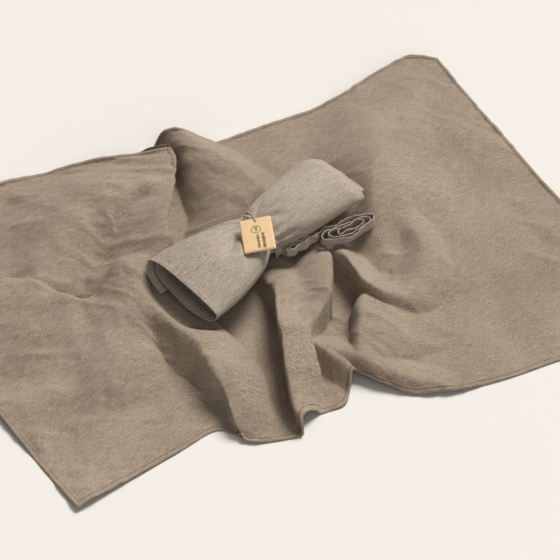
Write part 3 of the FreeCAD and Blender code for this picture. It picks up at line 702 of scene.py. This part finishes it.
def twisted_twine(name, line, fade_end=False):
    """Two twisted strands of flax about a line, and a few loose fibres."""
    count = len(line)
    size = np.full(count, STRAND_RADIUS)
    away = np.full((count, 1), STRAND_AWAY)
    if fade_end:
        fade = smoothstep(0.86, 1.0, np.linspace(0, 1, count))
        size = size * (1 - 0.75 * fade)
        away = away * (1 + 2.2 * fade[:, None])
    grids = [tube_points(strand, size, 7) for strand in strand_lines(line, away)]
    # Each twine gets its own loose fibres: the seed is the length of its name.
    rng = np.random.default_rng(len(name))
    tangent, side, other = moving_frame(line)
    for _ in range(max(4, count // 9)):
        start = rng.integers(1, max(count - 6, 2))
        steps = np.linspace(0, 1, 6)[:, None]
        turn = rng.uniform(0, 2 * math.pi)
        out = side[start] * math.cos(turn) + other[start] * math.sin(turn)
        reach = rng.uniform(0.0015, 0.004)
        path = line[start] + out * (0.0008 + reach * 0.45 * steps ** 1.5) + tangent[start] * reach * steps
        grids.append(tube_points(path, FIBRE_RADIUS, 4))
    if fade_end:
        for _ in range(9):
            steps = np.linspace(0, 1, 7)[:, None]
            out = side[-1] * rng.normal(0, 0.45) + other[-1] * rng.normal(0, 0.45)
            path = line[-4] + tangent[-1] * 0.0085 * rng.uniform(0.6, 1.0) * steps + out * 0.006 * steps ** 2
            grids.append(tube_points(path, FRAY_RADIUS, 4))
    return join_grids(name, grids)


def waist_line():
    """The line of the twine round the waist, resting on the gathered cloth."""
    turns = np.linspace(0, 1, 160)
    angle = math.radians(20) - turns * 2 * math.pi
    wide = 40.2 * np.sign(np.cos(angle)) * np.abs(np.cos(angle)) ** 0.95
    deep = 23.4 * np.sign(np.sin(angle)) * np.abs(np.sin(angle)) ** 0.95
    place = WAIST + 0.8 * np.sin(2 * angle)
    return placed(np.stack([place, wide - 2, deep + 28], axis=-1), ROLL_PLACE)


def tag_twine_line():
    """The twine's bight: from the knot over the card's top edge, through its hole and back under it."""
    knot = ROLL_PLACE @ (Vector(KNOT_MIDDLE) * MM)
    through = [TAG_PLACE @ (Vector(point) * MM) for point in TAG_TWINE]
    points = [knot, *through, knot - Vector((1.5, 0, 2)) * MM]
    return even_spline([tuple(point) for point in points], 90)


def knot_line():
    """A small overhand knot in the twine at the top of the waist."""
    t = np.linspace(0.12, 2 * math.pi - 0.12, 90)
    x = 2.3 * (np.sin(t) + 1.5 * np.sin(2 * t)) / 1.6
    y = 2.3 * (np.cos(t) - 1.5 * np.cos(2 * t)) / 1.6
    z = -1.25 * np.sin(3 * t)
    return placed(np.stack([x * 1.15, y, z], axis=-1) + np.array(KNOT_MIDDLE), ROLL_PLACE)


# ------------ the card tag
TAG_PLACE = (Matrix.Translation(Vector((28.0, 16.4, 97.9)) * MM) @ Matrix.Rotation(math.radians(-16), 4, "Z")
             @ Matrix.Rotation(math.radians(10), 4, "X") @ Matrix.Rotation(math.radians(-8), 4, "Y"))
TAG_HALF_WIDTH = 25.0
TAG_BOTTOM, TAG_TOP = -56.0, 6.0
TAG_HOLE_RADIUS = 2.0
TAG_BOARD = 0.6
INK_LIFT = 0.03


def tag_bend(x, y):
    """How far the card bows, and the dent where the twine crosses its top edge."""
    bow = -0.5 * (x / TAG_HALF_WIDTH) ** 2 + 0.35 * (y / 50) ** 2
    dent = -0.5 * np.exp(-(x / 4.0) ** 2) * smoothstep(0.0, TAG_TOP, y)
    return bow + dent


def tag_outline():
    """The card's edge, anticlockwise from the middle of its right side, with a dent under the twine."""
    right, left = TAG_HALF_WIDTH, -TAG_HALF_WIDTH
    corners = [(right, 0), (right, TAG_TOP), (left, TAG_TOP), (left, 0), (left, TAG_BOTTOM),
               (right, TAG_BOTTOM), (right, 0)]
    edge = []
    for start, end in zip(corners, corners[1:]):
        share = np.linspace(0, 1, 16, endpoint=False)[:, None]
        edge.append(np.array(start) * (1 - share) + np.array(end) * share)
    edge = np.vstack(edge)
    top = np.abs(edge[:, 1] - TAG_TOP) < 1e-6
    edge[top, 1] -= 1.3 * np.exp(-(edge[top, 0] / 3.0) ** 2)
    return edge


def make_tag():
    """The card, as rings of points from the edge of its hole out to its own edge."""
    edge = tag_outline()
    angle = np.arctan2(edge[:, 1], edge[:, 0])
    hole = TAG_HOLE_RADIUS * np.column_stack([np.cos(angle), np.sin(angle)])
    share = np.linspace(0, 1, 14)[:, None, None] ** 1.4
    plan = hole[None] * (1 - share) + edge[None] * share
    height = tag_bend(plan[..., 0], plan[..., 1]) + TAG_BOARD / 2
    points = placed(np.concatenate([plan, height[..., None]], axis=-1), TAG_PLACE)
    card = new_object("tag_card", grid_mesh("tag_card", points, plan * MM, closed_v=True))
    thicken(card, TAG_BOARD * MM)
    return card


def flat_band(line, width):
    """A flat band along a plan line, as pairs of points."""
    side = plan_sides(line) * width / 2
    return np.stack([line - side, line + side], axis=1)


# The sprig's leaves: (y, side). The two broken rules: (x, first y, last y, width), and their dashes.
LEAVES = ((-17.6, 1), (-15.8, -1), (-14, 1), (-12.4, -1), (-10.6, 1))
RULES = ((8.5, -50.0, -24.5, 5.6), (0.0, -49.0, -25.5, 4.6))
DASH_LENGTHS = (1.5, 0.9, 1.9, 1.2, 0.8, 1.6)
DASH_WIDTHS = (1.0, 0.7, 0.9, 0.6)
DASH_GAP = 0.8


def make_print():
    """A plain printed mark on the card: a sprig in a ring, and two broken rules with no letters."""
    bands = []
    angle = np.linspace(0, 2 * math.pi, 49)
    bands.append(flat_band(np.column_stack([7.4 * np.cos(angle) - 1, 6.4 * np.sin(angle) - 15]), 0.8))
    bands.append(flat_band(even_spline([(-1.6, -20), (-1, -16), (-0.6, -12), (0.2, -9.6)], 14), 0.5))
    for y, turn in LEAVES:
        start = np.array((-1.1 + (y + 17) * 0.1, y))
        share = np.linspace(0, 1, 9)
        leaf = start + np.column_stack([turn * 2.9 * share, 2.2 * share + 0.5 * np.sin(share * math.pi)])
        wide = 0.12 + 1.0 * np.sin(share * math.pi)
        bands.append(flat_band(leaf, wide[:, None]))
    for x, first, last, wide in RULES:
        y, step = first, 0
        while y < last:
            end = y + DASH_LENGTHS[step % len(DASH_LENGTHS)]
            share = DASH_WIDTHS[step % len(DASH_WIDTHS)]
            bands.append(flat_band(np.column_stack([np.full(3, x), np.linspace(y, end, 3)]), wide * share))
            y, step = end + DASH_GAP, step + 1
    points, faces, base = [], [], 0
    for band in bands:
        height = tag_bend(band[..., 0], band[..., 1]) + TAG_BOARD + INK_LIFT
        grid = placed(np.concatenate([band, height[..., None]], axis=-1), TAG_PLACE)
        rows = len(grid)
        index = base + np.arange(rows * 2).reshape(rows, 2)
        faces += np.stack([index[:-1, 0], index[:-1, 1], index[1:, 1], index[1:, 0]], axis=-1).tolist()
        points.append(grid.reshape(-1, 3))
        base += rows * 2
    mesh = bpy.data.meshes.new("tag_print")
    mesh.from_pydata(np.vstack(points).tolist(), [], faces)
    return new_object("tag_print", mesh)


# ------------ materials
def node(tree, kind, **settings):
    made = tree.nodes.new(kind)
    for name, value in settings.items():
        setattr(made, name, value)
    return made


def math_node(tree, operation, *values):
    made = node(tree, "ShaderNodeMath", operation=operation)
    for socket, value in zip(made.inputs, values):
        if isinstance(value, (int, float)):
            socket.default_value = value
        else:
            tree.links.new(value, socket)
    return made.outputs[0]


def stretched_noise(tree, uv, stretch, detail, shift):
    """Noise over the cloth, stretched along its threads. stretch is cells for each metre along u and v."""
    mapping = node(tree, "ShaderNodeMapping")
    mapping.inputs["Scale"].default_value = (*stretch, 1)
    mapping.inputs["Location"].default_value = (shift, shift * 1.7, shift)
    tree.links.new(uv, mapping.inputs["Vector"])
    made = node(tree, "ShaderNodeTexNoise")
    made.inputs["Scale"].default_value = 1.0
    made.inputs["Detail"].default_value = detail
    tree.links.new(mapping.outputs[0], made.inputs["Vector"])
    return made.outputs["Fac"]


def ramp(tree, value, stops):
    made = node(tree, "ShaderNodeValToRGB")
    elements = made.color_ramp.elements
    while len(elements) < len(stops):
        elements.new(0.5)
    for element, (place, colour) in zip(elements, stops):
        element.position = place
        element.color = (*colour, 1)
    tree.links.new(value, made.inputs["Fac"])
    return made.outputs["Color"]


def painted_seam_shade(tree, uv, length, width):
    """Painted shade: darker lines in the groove where the hems are sewn and along the cloth's edges, from the
    distance to the nearest edge.
    """
    split = node(tree, "ShaderNodeSeparateXYZ")
    tree.links.new(uv, split.inputs[0])
    u, v = split.outputs[0], split.outputs[1]
    far_u, far_v = math_node(tree, "SUBTRACT", length, u), math_node(tree, "SUBTRACT", width, v)
    from_end, from_side = math_node(tree, "MINIMUM", u, far_u), math_node(tree, "MINIMUM", v, far_v)
    depth = math_node(tree, "MINIMUM", from_end, from_side)
    seam = math_node(tree, "ABSOLUTE", math_node(tree, "SUBTRACT", depth, STITCH_LINE))
    near_seam = math_node(tree, "LESS_THAN", seam, 0.0011)
    near_edge = math_node(tree, "LESS_THAN", depth, 0.0010)
    return math_node(tree, "ADD", math_node(tree, "MULTIPLY", near_seam, 0.085),
                     math_node(tree, "MULTIPLY", near_edge, 0.03))


def new_material(name, **settings):
    """A material, its node tree and its shader, with the settings on the shader's own sockets."""
    material = bpy.data.materials.new(name)
    material.use_nodes = True
    shader = material.node_tree.nodes["Principled BSDF"]
    for socket, value in settings.items():
        shader.inputs[socket.replace("_", " ")].default_value = value
    return material, material.node_tree, shader


def add_bump(tree, shader, height, strength, distance):
    bump = node(tree, "ShaderNodeBump")
    bump.inputs["Strength"].default_value = strength
    bump.inputs["Distance"].default_value = distance
    tree.links.new(height, bump.inputs["Height"])
    tree.links.new(bump.outputs[0], shader.inputs["Normal"])


WEAVE_PITCH = 0.00095


def linen(name, light, middle, dark, cut=None):
    """Washed linen: uneven threads both ways with slubs, soft patches of colour and a fine woven relief;
    given a cut, also painted shade along the seams of its hems and its edges.
    """
    material, tree, shader = new_material(name, Roughness=0.92, Specular_IOR_Level=0.18, Sheen_Weight=0.22,
                                          Sheen_Roughness=0.55, Sheen_Tint=(1.0, 0.94, 0.86, 1))
    uv = node(tree, "ShaderNodeUVMap", uv_map=UV_NAME).outputs[0]
    warp = stretched_noise(tree, uv, (46, 900), 2, 0.0)
    weft = stretched_noise(tree, uv, (900, 130), 2, 5.0)
    slub_warp = stretched_noise(tree, uv, (26, 460), 1, 9.0)
    slub_weft = stretched_noise(tree, uv, (520, 60), 1, 13.0)
    patches = stretched_noise(tree, uv, (7, 7), 3, 17.0)
    speckle = stretched_noise(tree, uv, (620, 620), 2, 21.0)
    threads = math_node(tree, "ADD", warp, weft)
    slubs = math_node(tree, "MAXIMUM", slub_warp, slub_weft)
    tone = math_node(tree, "MULTIPLY_ADD", threads, 0.24, math_node(tree, "MULTIPLY", speckle, 0.40))
    tone = math_node(tree, "MULTIPLY_ADD", patches, 0.16, tone)
    tone = math_node(tree, "ADD", tone, math_node(tree, "MULTIPLY", slubs, 0.10))
    # With a cut, painted shade darkens the tone along the hems' seams and the cloth's edges.
    if cut is not None:
        tone = math_node(tree, "SUBTRACT", tone, painted_seam_shade(tree, uv, *cut))
    colour = ramp(tree, tone, [(0.475, dark), (0.577, middle), (0.685, light)])
    tree.links.new(colour, shader.inputs["Base Color"])
    split = node(tree, "ShaderNodeSeparateXYZ")
    tree.links.new(uv, split.inputs[0])
    phases = [math_node(tree, "MULTIPLY", split.outputs[axis], 2 * math.pi / WEAVE_PITCH) for axis in (0, 1)]
    weave = math_node(tree, "MULTIPLY", *(math_node(tree, "SINE", phase) for phase in phases))
    relief = math_node(tree, "MULTIPLY_ADD", weave, 0.20, threads)
    relief = math_node(tree, "ADD", relief, math_node(tree, "MULTIPLY", slubs, 0.7))
    add_bump(tree, shader, relief, 0.55, 0.0006)
    return material


def object_material(name, light, dark, scale, roughness, bump_distance, sheen=0.0):
    """A fibrous solid colour with variation in the object's own coordinates, in metres."""
    material, tree, shader = new_material(name, Roughness=roughness, Specular_IOR_Level=0.2,
                                          Sheen_Weight=sheen)
    place = node(tree, "ShaderNodeTexCoord").outputs["Object"]
    coarse = stretched_noise(tree, place, (scale, scale), 3, 2.0)
    fine = stretched_noise(tree, place, (scale * 6, scale * 6), 3, 6.0)
    tone = math_node(tree, "MULTIPLY_ADD", coarse, 0.6, math_node(tree, "MULTIPLY", fine, 0.4))
    tree.links.new(ramp(tree, tone, [(0.36, dark), (0.64, light)]), shader.inputs["Base Color"])
    add_bump(tree, shader, fine, 0.5, bump_distance)
    return material


# ------------ stage, light and camera
CAMERA_DISTANCE = 2.960
CAMERA_ELEVATION = math.radians(47.5)
CAMERA_TURN = math.radians(25.0)
CAMERA_FIELD = math.radians(17.0)
CAMERA_AIM = Vector((0.049, -0.030, 0.0))
FLOOR_REACH = 6.0


def make_stage():
    corners = [(x, y, 0) for x, y in ((-1, -1), (1, -1), (1, 1), (-1, 1))]
    mesh = bpy.data.meshes.new("floor")
    mesh.from_pydata([Vector(corner) * FLOOR_REACH for corner in corners], [], [(0, 1, 2, 3)])
    floor = new_object("floor", mesh)
    paper, _, _ = new_material("floor_paper", Base_Color=(0.70, 0.68, 0.652, 1), Roughness=0.8)
    floor.data.materials.append(paper)


def make_camera():
    back = Vector((-math.sin(CAMERA_TURN) * math.cos(CAMERA_ELEVATION),
                   -math.cos(CAMERA_TURN) * math.cos(CAMERA_ELEVATION), math.sin(CAMERA_ELEVATION)))
    camera_data = bpy.data.cameras.new("camera")
    camera_data.angle = CAMERA_FIELD
    camera_data.clip_end = 50
    camera = new_object("camera", camera_data)
    camera.location = CAMERA_AIM + back * CAMERA_DISTANCE
    camera.rotation_euler = (-back).to_track_quat("-Z", "Y").to_euler()
    bpy.context.scene.camera = camera


# (name, strength, width in degrees, direction of its light)
LIGHTS = [("window", 3.6, 26, (-0.70, -0.47, -1.0)), ("softbox", 0.95, 60, (0.10, 1.00, -0.62))]


def make_lights():
    world = bpy.data.worlds.new("studio")
    world.use_nodes = True
    background = world.node_tree.nodes["Background"]
    background.inputs["Color"].default_value = (1.0, 0.98, 0.955, 1)
    background.inputs["Strength"].default_value = 0.27
    bpy.context.scene.world = world
    for name, energy, angle, direction in LIGHTS:
        sun_data = bpy.data.lights.new(name, "SUN")
        sun_data.energy = energy
        sun_data.angle = math.radians(angle)
        sun_data.color = (1.0, 0.985, 0.96)
        sun = new_object(name, sun_data)
        sun.rotation_euler = Vector(direction).to_track_quat("-Z", "Y").to_euler()


def finish_piece(obj, body, material, nodes=()):
    obj.data.materials.append(material)
    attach(obj, body)
    if nodes:
        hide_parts(*nodes)
    return obj


linen_panel = linen("linen_panel_cloth", (0.478, 0.405, 0.334), (0.358, 0.292, 0.233), (0.214, 0.165, 0.123),
                    cut=(PANEL_LENGTH, PANEL_WIDTH))
linen_roll = linen("linen_roll_cloth", (0.53, 0.475, 0.415), (0.415, 0.36, 0.305), (0.27, 0.228, 0.188))
thread = object_material("hem_thread_flax", (0.42, 0.34, 0.26), (0.30, 0.235, 0.175), 400, 0.8, 0.0001, 0.2)
twine = object_material("flax_twine_fibre", (0.52, 0.43, 0.31), (0.33, 0.265, 0.19), 900, 0.8, 0.0002, 0.2)
kraft = object_material("kraft_board", (0.80, 0.60, 0.38), (0.73, 0.54, 0.335), 160, 0.75, 0.00005)
ink = object_material("print_ink", (0.060, 0.042, 0.030), (0.034, 0.022, 0.015), 500, 0.7, 0.00003)

THREAD_NODES = ("left_end_thread", "front_hem_thread_left", "front_hem_thread_right", "right_end_thread",
                "back_hem_thread_right", "back_hem_thread_left")
panel, panel_grid, panel_across, panel_along = make_panel()
finish_piece(panel, PANEL_BODY, linen_panel, ["wrap_cloth"])
stitches = make_stitches(panel_grid, panel_across, panel_along)
finish_piece(stitches, PANEL_BODY, thread, THREAD_NODES)

roll = finish_piece(make_roll(), ROLL_BODY, linen_roll, ["rolled_wrap"])
strap = finish_piece(make_strap(), ROLL_BODY, linen_roll, ["tie_strap"])

finish_piece(twisted_twine("waist_twine", waist_line()), ROLL_BODY, twine, ["twine_loop"])
finish_piece(twisted_twine("twine_knot_strands", knot_line()), ROLL_BODY, twine, ["twine_knot"])
short_line = route_points("short_tail", place_on_roll(SHORT_TAIL), 24)
finish_piece(twisted_twine("twine_short_end", short_line, True), ROLL_BODY, twine,
             ["twine_short_tail"])
tail_places = place_on_roll(LONG_TAIL)
tail = finish_piece(route_curve("twine_long_end", tail_places, CORE_RADIUS), ROLL_BODY, twine,
                    ["twine_long_tail"])
long_line = route_points("long_tail", tail_places, 100)
tail_strands = twisted_twine("twine_long_strands", long_line, True)
finish_piece(tail_strands, ROLL_BODY, twine)

bight = twisted_twine("twine_tag_bight", tag_twine_line())
bight.data.materials.append(twine)
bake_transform(bight)
tag = finish_piece(make_tag(), TAG_BODY, kraft, ["kraft_tag"])
finish_piece(make_print(), TAG_BODY, ink)

make_stage()
make_camera()
make_lights()
bpy.context.scene.view_settings.view_transform = "Standard"
bpy.context.scene.view_settings.gamma = 0.8
